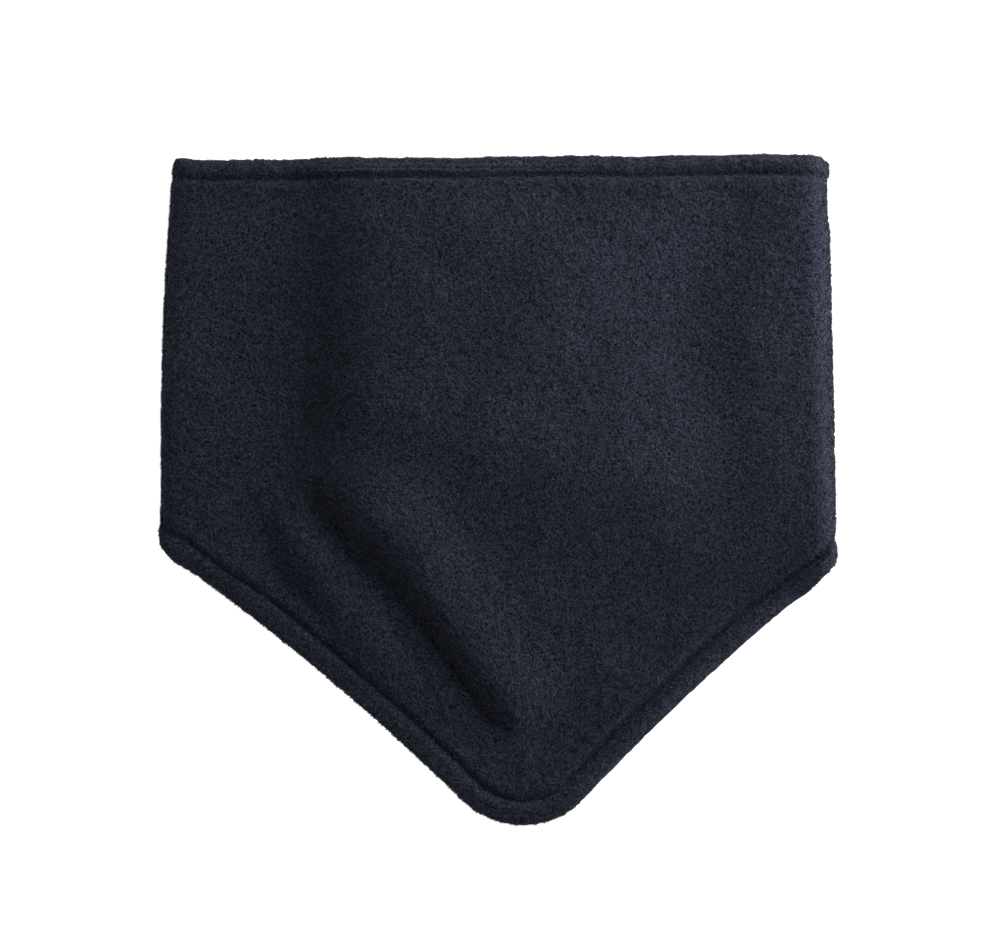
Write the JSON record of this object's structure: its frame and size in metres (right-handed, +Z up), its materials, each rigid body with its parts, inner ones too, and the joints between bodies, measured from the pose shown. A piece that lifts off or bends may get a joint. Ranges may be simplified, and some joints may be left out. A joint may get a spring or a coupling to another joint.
{
  "type": "neck gaiter",
  "caption": "Double-layer fleece neck gaiter lying flat: a pull-over tube whose front runs on into a rounded V-shaped bib.",
  "frame": {"origin": "under the middle of the outline, on the surface the gaiter lies on", "axes": "+Y up the neck from the bib's tip to the straight top edge, +X across the chest, +Z up from the surface, with the bib side facing up"},
  "size_m": [0.264, 0.2608, 0.02],
  "materials": {
    "shell_fleece": "brushed, matt",
    "lining_fleece": "brushed, matt",
    "thread": "satin",
    "label_satin": "satin"
  },
  "bodies": {
    "root": {"front_outer_panel": "shell_fleece", "back_outer_panel": "shell_fleece", "front_lining_panel": "lining_fleece", "back_lining_panel": "lining_fleece", "left_shell_seam_thread": "thread", "right_shell_seam_thread": "thread", "left_lining_seam_thread": "thread", "right_lining_seam_thread": "thread", "top_needle_thread": "thread", "top_bobbin_thread": "thread", "top_edge_seam_thread": "thread", "bottom_needle_thread": "thread", "bottom_bobbin_thread": "thread", "bottom_edge_seam_thread": "thread", "care_label_thread": "thread", "care_label": "label_satin"}
  },
  "joints": []
}
